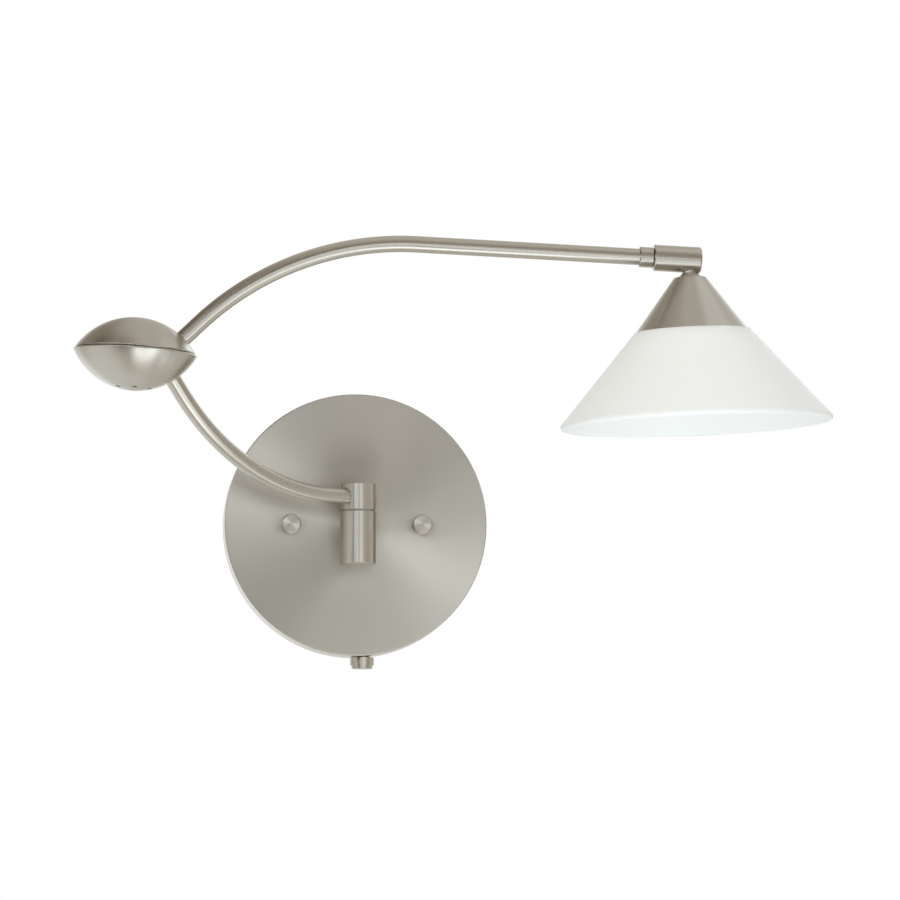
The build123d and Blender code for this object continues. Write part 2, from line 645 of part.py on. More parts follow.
# A conical nut sets the cap off the swivel barrel, with its top coped to fit under the barrel.
swivel_radius = swivel_diameter / 2
cope_depth = stem_cone_top / 2 * tan(radians(stem_splay)) + slide_gap
cope_top = sqrt(swivel_radius ** 2 - (stem_cone_top / 2) ** 2) - cope_depth
with BuildPart() as stem_cone:
    with BuildSketch(shade_section):
        with BuildLine():
            Polyline((stem_hole / 2, cope_top), (stem_cone_top / 2, cope_top),
                     (stem_cone_top / 2, swivel_radius), (stem_cone_bottom / 2, cap_top),
                     (stem_hole / 2, cap_top), close=True)
        make_face()
    revolve(axis=shade_axis)
    bar(swivel_plane, swivel_start, swivel_length, swivel_diameter + 2 * slide_gap, Mode.SUBTRACT)

# The cap is a spun cone with a flat top and a rounded shoulder.
cap_top_radius = cap_top_diameter / 2
cap_bottom_radius = cap_bottom_diameter / 2
cap_angle = atan2(cap_bottom_radius - cap_top_radius, cap_height)
cap_side = cap_wall / cos(cap_angle)
with BuildPart() as shade_cap:
    with BuildSketch(shade_section):
        with BuildLine():
            Polyline(
                (stem_hole / 2, cap_top),
                (cap_top_radius, cap_top),
                (cap_bottom_radius, cap_bottom),
                (cap_bottom_radius - cap_side, cap_bottom),
                (cap_top_radius + cap_wall * tan(cap_angle) - cap_side, cap_top + cap_wall),
                (stem_hole / 2, cap_top + cap_wall),
                close=True,
            )
        make_face()
    revolve(axis=shade_axis)
    fillet(rings(shade_cap, cap_top_diameter), cap_shoulder_radius)

with BuildPart() as stem_nut:
    hex_nut(shade, cap_top + cap_wall, stem_nut_height, stem_nut_flats, stem_hole)

# The opal glass is a blown cone with a cut top edge under the cap and a fire-polished, fully round rim.
glass_top = cap_bottom + slide_gap
glass_top_radius = glass_top_diameter / 2
bead = glass_thickness / 2
bead_radius = glass_rim_diameter / 2 - bead
bead_level = glass_top + glass_height - bead
bead_run = bead_radius - glass_top_radius
bead_fall = bead_level - glass_top
glass_angle = atan2(bead_run, bead_fall) + asin(bead / sqrt(bead_run ** 2 + bead_fall ** 2))
glass_side = glass_thickness / cos(glass_angle)
bead_out = bead * cos(glass_angle)
bead_down = bead * sin(glass_angle)
with BuildPart() as glass_shade:
    with BuildSketch(shade_section):
        with BuildLine():
            Line((glass_top_radius, glass_top), (bead_radius + bead_out, bead_level - bead_down))
            ThreePointArc((bead_radius + bead_out, bead_level - bead_down),
                          (bead_radius + bead_down, bead_level + bead_out),
                          (bead_radius - bead_out, bead_level + bead_down))
            Line((bead_radius - bead_out, bead_level + bead_down),
                 (glass_top_radius - glass_side, glass_top))
            Line((glass_top_radius - glass_side, glass_top), (glass_top_radius, glass_top))
        make_face()
    revolve(axis=shade_axis)

# The inner cup hangs on the stem and wedges the glass up against the cap with its flared flange.
cup_top_radius = cup_top_diameter / 2
cup_neck_radius = glass_top_radius - glass_side - body_gap
cup_rim_radius = cup_neck_radius + cup_flange * tan(glass_angle)
cup_cone_angle = atan2(cup_neck_radius - cup_top_radius, glass_top - cup_top)
cup_cone_side = cup_wall / cos(cup_cone_angle)
cup_flange_side = cup_wall / cos(glass_angle)
with BuildPart() as inner_cup:
    with BuildSketch(shade_section):
        with BuildLine():
            Polyline(
                (stem_hole / 2, cup_top),
                (cup_top_radius, cup_top),
                (cup_neck_radius, glass_top),
                (cup_rim_radius, glass_top + cup_flange),
                (cup_rim_radius - cup_flange_side, glass_top + cup_flange),
                (cup_neck_radius - cup_cone_side, glass_top),
                (cup_top_radius + cup_wall * tan(cup_cone_angle) - cup_cone_side, cup_top + cup_wall),
                (stem_hole / 2, cup_top + cup_wall),
                close=True,
            )
        make_face()
    revolve(axis=shade_axis)
    with Locations(shade.offset(cup_top)):
        with GridLocations(1, holder_screw_spacing, 1, 2):
            Cylinder(holder_screw_diameter / 2 + thread_clearance, cup_wall,
                     align=stand, mode=Mode.SUBTRACT)

with BuildPart() as cup_nut:
    hex_nut(shade, cup_nut_start, cup_nut_height, stem_nut_flats, stem_hole)

# The ceramic lampholder sits in the cup on two long screws, over the cup's nut.
holder_top = cup_top + cup_wall
holder_bottom = holder_top + holder_height
holder_floor = holder_bottom - holder_recess_depth
nut_corner = stem_nut_flats / cos(radians(30))
with BuildPart() as lampholder:
    bar(shade, holder_top, holder_height, holder_diameter)
    bar(shade, holder_top, cup_nut_height + body_gap, nut_corner + 2 * body_gap, Mode.SUBTRACT)
    with BuildSketch(shade.offset(holder_floor)):
        Rectangle(pinch_width + 2 * body_gap, pinch_thickness + 2 * body_gap)
    extrude(amount=holder_recess_depth, mode=Mode.SUBTRACT)
    with Locations(shade.offset(holder_floor - pin_length)):
        with GridLocations(pin_spacing, 1, 2, 1):
            Cylinder(pin_diameter / 2 + slide_gap, pin_length, align=stand, mode=Mode.SUBTRACT)
    with Locations(shade.offset(holder_top)):
        with GridLocations(1, holder_screw_spacing, 1, 2):
            Cylinder(holder_screw_diameter / 2 + thread_clearance, holder_height,
                     align=stand, mode=Mode.SUBTRACT)

with BuildPart() as holder_screws:
    with Locations(shade.offset(cup_top)):
        with GridLocations(1, holder_screw_spacing, 1, 2):
            Cylinder(holder_screw_diameter / 2, holder_bottom - cup_top, align=stand)
    with Locations(shade.offset(holder_bottom)):
        with GridLocations(1, holder_screw_spacing, 1, 2):
            Cylinder(holder_screw_head / 2, holder_screw_head_height, align=stand)

# The lamp is a frosted capsule on a flat pinch with two pins.
lamp_start = holder_bottom + holder_screw_head_height
lamp_end = lamp_start + lamp_length
lamp_radius = lamp_diameter / 2
dome_start = lamp_end - lamp_radius
with BuildPart() as lamp:
    with BuildSketch(shade_section):
        with BuildLine():
            Polyline((0, lamp_start), (lamp_radius, lamp_start), (lamp_radius, dome_start))
            CenterArc((0, dome_start), lamp_radius, 0, 90)
            Line((0, lamp_end), (0, lamp_start))
        make_face()
    revolve(axis=shade_axis)
    with BuildSketch(shade.offset(holder_floor + slide_gap)):
        Rectangle(pinch_width, pinch_thickness)
    extrude(amount=lamp_start - holder_floor + pinch_embed)

with BuildPart() as lamp_pins:
    with Locations(shade.offset(holder_floor + slide_gap - pin_length)):
        with GridLocations(pin_spacing, 1, 2, 1):
            Cylinder(pin_diameter / 2, pin_length, align=stand)

pieces = {
    "canopy": canopy,
    "crossbar": crossbar,
    "ground_screw": ground_screw,
    "canopy_studs": canopy_studs,
    "stud_nuts": stud_nuts,
    "cap_nuts": cap_nuts,
    "dimmer_body": dimmer_body,
    "dimmer_nut": dimmer_nut,
    "dimmer_shaft": dimmer_shaft,
    "dimmer_knob": dimmer_knob,
    "hinge_barrel": hinge_barrel,
    "barrel_spacer": barrel_spacer,
    "barrel_nipple": barrel_nipple,
    "nipple_washer": nipple_washer,
    "nipple_nut": nipple_nut,
    "pivot_washer": pivot_washer,
    "pivot_screw": pivot_screw,
    "hub": hub,
    "lower_arm": lower_arm,
    "lower_lead": lower_lead,
    "lower_bowl": lower_bowl,
    "lower_socket": lower_socket,
    "elbow_washer": elbow_washer,
    "upper_bowl": upper_bowl,
    "upper_socket": upper_socket,
    "elbow_stop": elbow_stop,
    "elbow_post": elbow_post,
    "elbow_spring": elbow_spring,
    "elbow_nut": elbow_nut,
    "upper_arm": upper_arm,
    "upper_lead": upper_lead,
    "swivel_collar": swivel_collar,
    "swivel_spindle": swivel_spindle,
    "swivel_barrel": swivel_barrel,
    "swivel_screw": swivel_screw,
    "stem": stem,
    "stem_cone": stem_cone,
    "stem_nut": stem_nut,
    "shade_cap": shade_cap,
    "glass_shade": glass_shade,
    "inner_cup": inner_cup,
    "cup_nut": cup_nut,
    "lampholder": lampholder,
    "holder_screws": holder_screws,
    "lamp": lamp,
    "lamp_pins": lamp_pins,
}
os.makedirs("parts", exist_ok=True)
for label, piece in pieces.items():
    piece.part.label = label
    export_step(piece.part, f"parts/{label}.step")

# Places that the joints and mounts are stated at.
for name, place in (
    ("hinge axis", hinge_axis.position),
    ("elbow centre", elbow_centre),
    ("elbow axis", elbow_up),
    ("swivel origin", collar_origin),
    ("swivel axis", end_slope),
    ("stem origin", stem_origin),
    ("stem axis", stem_down),
    ("dimmer axis", dimmer_plane.origin),
):
    print(name, round(place.X, 4), round(place.Y, 4), round(place.Z, 4))
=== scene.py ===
from math import radians

import bpy
import numpy as np
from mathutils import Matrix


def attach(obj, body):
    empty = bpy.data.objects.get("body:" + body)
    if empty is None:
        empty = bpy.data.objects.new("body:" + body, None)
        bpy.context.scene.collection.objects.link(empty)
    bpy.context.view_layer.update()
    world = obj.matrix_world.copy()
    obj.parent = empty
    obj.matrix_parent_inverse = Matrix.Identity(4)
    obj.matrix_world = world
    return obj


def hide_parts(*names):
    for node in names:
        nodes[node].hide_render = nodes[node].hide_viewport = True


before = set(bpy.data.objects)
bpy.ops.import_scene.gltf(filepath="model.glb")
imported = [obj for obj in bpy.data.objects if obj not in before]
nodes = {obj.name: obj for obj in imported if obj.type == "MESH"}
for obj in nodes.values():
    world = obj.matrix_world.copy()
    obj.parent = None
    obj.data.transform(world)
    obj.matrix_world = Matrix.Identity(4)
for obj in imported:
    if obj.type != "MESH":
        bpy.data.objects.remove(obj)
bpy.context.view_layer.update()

# Camera: a long lens that stands low and a little to the left of the lamp, level with the horizon.
# It is about 5 m off, so the near and the far end of the arms show at nearly one scale.
scene = bpy.context.scene
scene.view_settings.view_transform = "Standard"
camera_data = bpy.data.cameras.new("camera")
camera_data.lens = 413.2
camera_data.sensor_width = 36.0
camera_data.clip_end = 50.0
camera = bpy.data.objects.new("camera", camera_data)
camera.location = (-0.3284, -4.9945, -0.37356)
camera.rotation_euler = (radians(94.7), 0.0, radians(-4.3))
scene.collection.objects.link(camera)
scene.camera = camera


# Backdrop: plain white to the eye and in what metal and glass show of it.
# To matt surfaces it is only a weak fill, so that the lamps shape them.
def linear(code):
    """A hex sRGB colour as linear red, green, blue and an alpha of 1: the sRGB curve undone."""
    value = np.array([int(code[i:i + 2], 16) / 255 for i in (1, 3, 5)])
    curve = np.where(value <= 0.04045, value / 12.92, ((value + 0.055) / 1.055) ** 2.4)
    return (*curve.tolist(), 1.0)


def add(tree, kind, inputs=None, **settings):
    """Adds a node with its settings; inputs gives a value or another node's output to each socket named."""
    node = tree.nodes.new(kind)
    for key, value in settings.items():
        setattr(node, key, value)
    for key, value in (inputs or {}).items():
        if isinstance(value, bpy.types.NodeSocket):
            tree.links.new(value, node.inputs[key])
        else:
            node.inputs[key].default_value = value
    return node


fill_strength = 0.55
world = bpy.data.worlds.new("white_backdrop")
scene.world = world
world.use_nodes = True
sky = world.node_tree
sky.nodes.clear()
rays = add(sky, "ShaderNodeLightPath").outputs
seen = add(sky, "ShaderNodeMath", {0: rays["Is Camera Ray"], 1: rays["Is Glossy Ray"]}, operation="MAXIMUM")
seen = add(sky, "ShaderNodeMath", {0: seen.outputs[0], 1: rays["Is Transmission Ray"]}, operation="MAXIMUM")
fill = add(sky, "ShaderNodeBackground", {"Color": linear("#FFFFFF"), "Strength": fill_strength})
white = add(sky, "ShaderNodeBackground", {"Color": linear("#FFFFFF"), "Strength": 1.0})
backdrop = add(sky, "ShaderNodeMixShader", {0: seen.outputs[0], 1: fill.outputs[0], 2: white.outputs[0]})
add(sky, "ShaderNodeOutputWorld", {"Surface": backdrop.outputs[0]})


# Floor: a pale painted studio floor well below the lamp, which takes its shadow.
# It thins out to the white backdrop at its edge, and from below it is not there.
def surface(name, grid, round_rows=False, round_columns=False):
    """Joins a grid of points into quads, smooth; a round direction joins its last line to its first."""
    rows, columns = grid.shape[:2]
    index = np.arange(rows * columns).reshape(rows, columns)
    ahead = np.roll(index, -1, axis=0)
    quads = np.stack((index, np.roll(index, -1, axis=1), np.roll(ahead, -1, axis=1), ahead), axis=-1)
    quads = quads[:rows if round_rows else rows - 1, :columns if round_columns else columns - 1]
    mesh = bpy.data.meshes.new(name)
    mesh.from_pydata(grid.reshape(-1, 3).tolist(), [], quads.reshape(-1, 4).tolist())
    mesh.polygons.foreach_set("use_smooth", np.ones(len(mesh.polygons), dtype=bool))
    piece = bpy.data.objects.new(name, mesh)
    scene.collection.objects.link(piece)
    return piece


def material_of(name):
    """A new material with its tree and its shader."""
    material = bpy.data.materials.new(name)
    material.use_nodes = True
    tree = material.node_tree
    return material, tree, tree.nodes["Principled BSDF"]


floor_level = -0.85
floor_reach = 2.6
fade_start = 0.35 * floor_reach
fade_end = 0.95 * floor_reach
across = np.linspace(-floor_reach, floor_reach, 3)
floor_grid = np.stack(np.meshgrid(across, across), axis=-1)
floor = surface("floor", np.concatenate((floor_grid, np.full((3, 3, 1), floor_level)), axis=-1))
floor_paint, tree, shader = material_of("floor_paint")
place = add(tree, "ShaderNodeTexCoord").outputs["Object"]
flat = add(tree, "ShaderNodeVectorMath", {0: place, 1: (1.0, 1.0, 0.0)}, operation="MULTIPLY")
reach = add(tree, "ShaderNodeVectorMath", {0: flat.outputs[0]}, operation="LENGTH").outputs["Value"]
grain = add(tree, "ShaderNodeTexNoise", {"Vector": place, "Scale": 1 / 0.05, "Detail": 3.0}).outputs["Fac"]
paint = add(tree, "ShaderNodeMix", {0: grain, 6: linear("#EFEFEC"), 7: linear("#F3F3F1")}, data_type="RGBA")
tree.links.new(paint.outputs[2], shader.inputs["Base Color"])
shader.inputs["Roughness"].default_value = 0.7
thin = add(tree, "ShaderNodeMapRange", {"Value": reach, "From Min": fade_start, "From Max": fade_end},
           interpolation_type="SMOOTHSTEP")
under = add(tree, "ShaderNodeNewGeometry").outputs["Backfacing"]
gone = add(tree, "ShaderNodeMath", {0: thin.outputs[0], 1: under}, operation="MAXIMUM")
clear = add(tree, "ShaderNodeBsdfTransparent")
shown = add(tree, "ShaderNodeMixShader", {0: gone.outputs[0], 1: shader.outputs[0], 2: clear.outputs[0]})
tree.links.new(shown.outputs[0], tree.nodes["Material Output"].inputs["Surface"])
floor.data.materials.append(floor_paint)


# Light tent: the cloth that stands round the front of the lamp, seen only in the metal's reflections.
# Grey cloth with brighter windows at the left and the lower right, and darker folds between them.
# Each window or fold has its azimuth and elevation, where it is full and where it ends, and its gain.
def bearing(azimuth, elevation):
    """Unit direction: azimuth turns from the front to the right and elevation rises, both in degrees."""
    turn = np.radians(azimuth)
    rise = np.radians(elevation)
    return np.stack((np.sin(turn) * np.cos(rise), -np.cos(turn) * np.cos(rise), np.sin(rise)), axis=-1)


tent_centre = np.array((0.0, -0.054, 0.06))
tent_radius = 0.7
# Part of a sphere in rings, each at its angle from the front.
# It is open at the back, where the metal shows the backdrop.
front_hole = 0.5
back_edge = 162
rings = np.radians(np.linspace(front_hole, back_edge, 65))
spokes = np.linspace(0, 2 * np.pi, 73)[:-1]
rings, spokes = np.meshgrid(rings, spokes, indexing="ij")
tent_shape = np.stack((np.sin(rings) * np.cos(spokes), -np.cos(rings),
                       np.sin(rings) * np.sin(spokes)), axis=-1)
tent = surface("light_tent", tent_centre + tent_radius * tent_shape, round_columns=True)
tent_cloth = bpy.data.materials.new("tent_cloth")
tent_cloth.use_nodes = True
tree = tent_cloth.node_tree
tree.nodes.clear()
place = add(tree, "ShaderNodeTexCoord").outputs["Object"]
outward = add(tree, "ShaderNodeVectorMath", {0: place, 1: tent_centre.tolist()}, operation="SUBTRACT")
outward = add(tree, "ShaderNodeVectorMath", {0: outward.outputs[0]}, operation="NORMALIZE").outputs[0]
cloth_level = 0.61
darkest_fold = 0.02
warm_level = 0.05
cool_level = 0.95
tent_strength = 1.17
windows = [
    (-14, -1, 10, 16, 1.59),
    (14, 2, 6, 12, 0.47),
    (21, -25, 10, 20, 1.03),
    (46, -21, 3, 9, 0.60),
    (1, -46, 8, 24, 1.66),
    (-33, 8, 15, 21, 1.42),
    (-63, 15, 5, 19, 0.31),
    (71, 43, 10, 25, 0.37),
    (-112, -43, 21, 53, 0.20),
    (148, 23, 3, 21, 0.81),
    (-152, -1, 11, 36, 0.35),
    (-15, 18, 7, 26, -0.58),
    (8, 39, 7, 22, -0.15),
    (-30, -14, 19, 25, -1.99),
    (5, -30, 8, 17, -1.58),
    (61, 20, 7, 49, -0.28),
    (-58, 42, 10, 40, -0.37),
    (-119, 22, 19, 53, -0.33),
    (88, -11, 4, 10, 0.17),
    (104, 35, 8, 22, 0.08),
    (67, -31, 5, 12, -0.24),
    (34, -49, 3, 11, 0.40),
    (64, -57, 4, 11, 0.60),
    (94, -53, 4, 11, 0.30),
    (-45, -70, 8, 22, -0.15),
]
glow = cloth_level
for azimuth, elevation, inner, outer, gain in windows:
    facing = add(tree, "ShaderNodeVectorMath", {0: outward, 1: bearing(azimuth, elevation).tolist()},
                 operation="DOT_PRODUCT").outputs["Value"]
    ends = np.cos(np.radians(outer))
    full = np.cos(np.radians(inner))
    spot = add(tree, "ShaderNodeMapRange", {"Value": facing, "From Min": ends, "From Max": full,
                                            "To Min": 0.0, "To Max": gain},
               interpolation_type="SMOOTHSTEP").outputs[0]
    glow = add(tree, "ShaderNodeMath", {0: spot, 1: glow}, operation="ADD").outputs[0]
glow = add(tree, "ShaderNodeMath", {0: glow, 1: darkest_fold}, operation="MAXIMUM").outputs[0]
# Dark folds are warm in tone and bright windows cool.
cool = add(tree, "ShaderNodeMapRange", {"Value": glow, "From Min": warm_level,
                                        "From Max": cool_level}).outputs[0]
tint = add(tree, "ShaderNodeMix", {0: cool, 6: linear("#FFEBD2"), 7: linear("#F3F9FE")},
           data_type="RGBA").outputs[2]
glow = add(tree, "ShaderNodeMath", {0: glow, 1: tent_strength}, operation="MULTIPLY").outputs[0]
cloth = add(tree, "ShaderNodeEmission", {"Color": tint, "Strength": glow})
add(tree, "ShaderNodeOutputMaterial", {"Surface": cloth.outputs[0]})
tent.data.materials.append(tent_cloth)
tent.visible_camera = False
tent.visible_diffuse = False
tent.visible_transmission = False
tent.visible_shadow = False


# Lamps: large soft boxes above, at the left and at the lower right, for the glass and other matt pieces.
# The tent gives the metal its reflections, so the boxes themselves do not show in it.
def soft_box(name, direction, distance, size, power, code="#FFFFFF"):
    """A square soft box that faces the lamp from a direction, at a distance and with a side in metres."""
    data = bpy.data.lights.new(name, "AREA")
    data.shape = "SQUARE"
    data.size = size
    data.energy = power
    data.color = linear(code)[:3]
    box = bpy.data.objects.new(name, data)
    azimuth, elevation = direction
    box.location = tent_centre + distance * bearing(azimuth, elevation)
    box.rotation_euler = (radians(90.0 - elevation), 0.0, radians(azimuth))
    box.visible_camera = False
    box.visible_glossy = False
    scene.collection.objects.link(box)


soft_box("box_above", (-5, 50), 2.4, 2.2, 16.5)
soft_box("box_left", (-40, 12), 2.6, 1.6, 12.0)
soft_box("box_low_right", (40, -14), 2.6, 1.4, 7.0)
soft_box("box_under", (15, -58), 0.85, 0.6, 3.0, "#DEECFF")


# Canopy: a shallow pan spun from steel sheet, brushed while it turns and plated in satin nickel.
# It covers the outlet box, and is drawn to the wall by two cap nuts on studs.
def spun_nickel(name, centre, axis, pair=0.0, wall=0.0, roughness=0.27, face=0.1, lean=None, stretch=0.8):
    """Satin nickel brushed as the piece turns: rings about an axis through centre, in metres.

    The rings are noise of the distance from the axis and the height along it. They show as fine
    circles, and they stretch light across themselves, which gives the bow tie of a brushed disc.
    They are drawn half a millimetre wide, coarser than real brush marks, so that some still show.
    face sets how fine they are across the radius: 1 is as fine as along the axis, 0.1 ten times wider.
    stretch is how far they draw out the light, from 0 to 1.
    Two like pieces may stand at either side, pair away from the middle. Beyond the radius wall the
    surface is a plain side wall, which the brush leaves smoother. Where a piece has a straight side,
    its normal is the radius leant towards the axis by lean, in degrees, so that the side shines evenly.
    """
    material, tree, shader = material_of(name)
    place = add(tree, "ShaderNodeTexCoord").outputs["Object"]
    if pair:
        side = add(tree, "ShaderNodeVectorMath", {0: place}, operation="SIGN").outputs[0]
        place = add(tree, "ShaderNodeVectorMath", {0: side, 1: (-pair, 0.0, 0.0), 2: place},
                    operation="MULTIPLY_ADD").outputs[0]
    arm = add(tree, "ShaderNodeVectorMath", {0: place, 1: centre}, operation="SUBTRACT").outputs[0]
    sweep = add(tree, "ShaderNodeVectorMath", {0: axis, 1: arm}, operation="CROSS_PRODUCT").outputs[0]
    radius = add(tree, "ShaderNodeVectorMath", {0: sweep}, operation="LENGTH").outputs["Value"]
    height = add(tree, "ShaderNodeVectorMath", {0: axis, 1: arm}, operation="DOT_PRODUCT").outputs["Value"]
    inward = add(tree, "ShaderNodeMath", {0: radius, 1: face}, operation="MULTIPLY").outputs[0]
    ring = add(tree, "ShaderNodeCombineXYZ", {0: inward, 1: height}).outputs[0]
    scratch = add(tree, "ShaderNodeTexNoise", {"Vector": ring, "Scale": 1 / 0.0005, "Detail": 3.0,
                                               "Roughness": 0.65}).outputs["Fac"]
    haze = add(tree, "ShaderNodeTexNoise", {"Vector": arm, "Scale": 1 / 0.018, "Detail": 2.0}).outputs["Fac"]
    tone = add(tree, "ShaderNodeMix", {0: scratch, 6: linear("#C2BDB2"), 7: linear("#CBC6BB")},
               data_type="RGBA")
    tree.links.new(tone.outputs[2], shader.inputs["Base Color"])
    gloss = add(tree, "ShaderNodeMapRange", {"Value": scratch, "To Min": roughness - 0.006,
                                             "To Max": roughness + 0.004}).outputs[0]
    gloss = add(tree, "ShaderNodeMath", {0: haze, 1: 0.05, 2: gloss}, operation="MULTIPLY_ADD").outputs[0]
    if wall:
        edge_width = 0.0002
        wall_share = 0.4
        smooth = add(tree, "ShaderNodeMapRange", {"Value": radius, "From Min": wall - edge_width,
                                                  "From Max": wall, "To Min": 1.0,
                                                  "To Max": wall_share}).outputs[0]
        gloss = add(tree, "ShaderNodeMath", {0: gloss, 1: smooth}, operation="MULTIPLY").outputs[0]
    tree.links.new(gloss, shader.inputs["Roughness"])
    relief = add(tree, "ShaderNodeBump", {"Height": scratch, "Strength": 0.04, "Distance": 0.00002})
    tree.links.new(relief.outputs[0], shader.inputs["Normal"])
    if lean is not None:
        outward = add(tree, "ShaderNodeVectorMath", {0: sweep, 1: axis}, operation="CROSS_PRODUCT").outputs[0]
        outward = add(tree, "ShaderNodeVectorMath", {0: outward}, operation="NORMALIZE").outputs[0]
        rise = np.cos(radians(lean))
        outward = add(tree, "ShaderNodeVectorMath", {0: outward, 1: (rise, rise, rise),
                                                     2: np.sin(radians(lean)) * np.array(axis)},
                      operation="MULTIPLY_ADD").outputs[0]
        outward = add(tree, "ShaderNodeVectorTransform", {0: outward}, vector_type="NORMAL",
                      convert_from="OBJECT", convert_to="WORLD").outputs[0]
        facet = add(tree, "ShaderNodeNewGeometry").outputs["Normal"]
        near = add(tree, "ShaderNodeVectorMath", {0: facet, 1: outward},
                   operation="DOT_PRODUCT").outputs["Value"]
        near_enough = 0.99
        near = add(tree, "ShaderNodeMath", {0: near, 1: near_enough}, operation="GREATER_THAN").outputs[0]
        even = add(tree, "ShaderNodeMix", {0: near, 4: facet, 5: outward}, data_type="VECTOR").outputs[1]
        tree.links.new(even, relief.inputs["Normal"])
    grain = add(tree, "ShaderNodeVectorTransform", {0: sweep}, vector_type="VECTOR",
                convert_from="OBJECT", convert_to="WORLD")
    tree.links.new(grain.outputs[0], shader.inputs["Tangent"])
    shader.inputs["Metallic"].default_value = 1.0
    shader.inputs["Anisotropic"].default_value = stretch
    quarter_turn = 0.25
    shader.inputs["Anisotropic Rotation"].default_value = quarter_turn
    return material


def dress(material, *names):
    """Gives a material to the carried-over pieces of these names."""
    for name in names:
        nodes[name].data.materials.clear()
        nodes[name].data.materials.append(material)


out_of_wall = (0.0, -1.0, 0.0)
upright = (0.0, 0.0, 1.0)
dress(spun_nickel("nickel_canopy", (0.0, 0.0, 0.0), out_of_wall, wall=0.0634,
                  roughness=0.36, face=1.0, stretch=0.917), "canopy")


# Crossbar, studs and lock nuts: pressed and rolled steel parts in bright zinc, behind the canopy.
# The crossbar screws to the outlet box, and the studs stand in it, locked by their nuts.
def plated_steel(name, dark, pale, roughness, grain_size):
    """Plated steel: a mottle of two near tones and a gloss that varies with it, as barrel plating leaves."""
    material, tree, shader = material_of(name)
    place = add(tree, "ShaderNodeTexCoord").outputs["Object"]
    mottle = add(tree, "ShaderNodeTexNoise", {"Vector": place, "Scale": 1 / grain_size, "Detail": 5.0,
                                              "Roughness": 0.6}).outputs["Fac"]
    tone = add(tree, "ShaderNodeMix", {0: mottle, 6: linear(dark), 7: linear(pale)}, data_type="RGBA")
    tree.links.new(tone.outputs[2], shader.inputs["Base Color"])
    gloss = add(tree, "ShaderNodeMapRange", {"Value": mottle, "To Min": roughness + 0.1,
                                             "To Max": roughness - 0.1}).outputs[0]
    tree.links.new(gloss, shader.inputs["Roughness"])
    relief = add(tree, "ShaderNodeBump", {"Height": mottle, "Strength": 0.2, "Distance": 0.00005})
    tree.links.new(relief.outputs[0], shader.inputs["Normal"])
    shader.inputs["Metallic"].default_value = 1.0
    return material


zinc = plated_steel("bright_zinc_steel", "#A9AEB4", "#C6CACE", 0.36, 0.004)
dress(zinc, "crossbar", "canopy_studs", "stud_nuts", "nipple_washer", "nipple_nut", "barrel_nipple",
      "elbow_nut", "stem", "stem_nut", "cup_nut", "holder_screws")
black_steel = plated_steel("black_oxide_steel", "#2B2B2C", "#434344", 0.42, 0.002)
dress(black_steel, "pivot_screw", "swivel_screw", "elbow_stop", "elbow_spring")
dress(plated_steel("green_passivated_steel", "#2F6B45", "#3F8257", 0.45, 0.002), "ground_screw")

# Cap nuts: turned from bar, each with a flat face that shows its own small bow tie.
# They screw on the studs and hold the canopy by its face.
dress(spun_nickel("nickel_cap_nuts", (0.0, 0.0, 0.0), out_of_wall, pair=0.03175,
                  roughness=0.36, face=1.0, stretch=0.917), "cap_nuts")

# Barrel, hub and spacer: turned bars of one diameter on the upright hinge line.
# The barrel is held to the canopy by a threaded nipple, and the hub turns on it with the lower arm.
hinge_line = (0.0, -0.034, 0.0)
dress(spun_nickel("nickel_barrel", hinge_line, upright, lean=0.0), "hinge_barrel", "hub")
dress(spun_nickel("nickel_spacer", (0.0, 0.0, -0.012), out_of_wall), "barrel_spacer")


# Dimmer: a moulded phenolic case inside the canopy with a brass shaft and nut and a smooth turned knob.
# Its bush goes out through the canopy's wall, and the knob is pressed on the shaft.
def moulded(name, dark, pale, roughness, grain_size, depth=0.00002, scatter=0.0):
    """A moulded or cast piece: close tones in a fine grain, and a low relief of the mould's texture."""
    material, tree, shader = material_of(name)
    place = add(tree, "ShaderNodeTexCoord").outputs["Object"]
    grain = add(tree, "ShaderNodeTexNoise", {"Vector": place, "Scale": 1 / grain_size, "Detail": 4.0,
                                             "Roughness": 0.55}).outputs["Fac"]
    tone = add(tree, "ShaderNodeMix", {0: grain, 6: linear(dark), 7: linear(pale)}, data_type="RGBA")
    tree.links.new(tone.outputs[2], shader.inputs["Base Color"])
    gloss = add(tree, "ShaderNodeMapRange", {"Value": grain, "To Min": roughness - 0.08,
                                             "To Max": roughness + 0.08}).outputs[0]
    tree.links.new(gloss, shader.inputs["Roughness"])
    relief = add(tree, "ShaderNodeBump", {"Height": grain, "Strength": 0.3, "Distance": depth})
    tree.links.new(relief.outputs[0], shader.inputs["Normal"])
    shader.inputs["Subsurface Weight"].default_value = scatter
    shader.inputs["Subsurface Radius"].default_value = (0.003, 0.003, 0.003)
    shader.inputs["Subsurface Scale"].default_value = 1.0
    return material


dress(moulded("phenolic_case", "#232426", "#2E2F31", 0.5, 0.0008), "dimmer_body")
brass = plated_steel("turned_brass", "#B8965A", "#CDB078", 0.3, 0.003)
dress(brass, "dimmer_nut", "dimmer_shaft", "elbow_post", "swivel_spindle")
knob_line = (0.0036, -0.0095, 0.0)
dress(spun_nickel("nickel_knob", knob_line, upright, lean=0.0), "dimmer_knob")


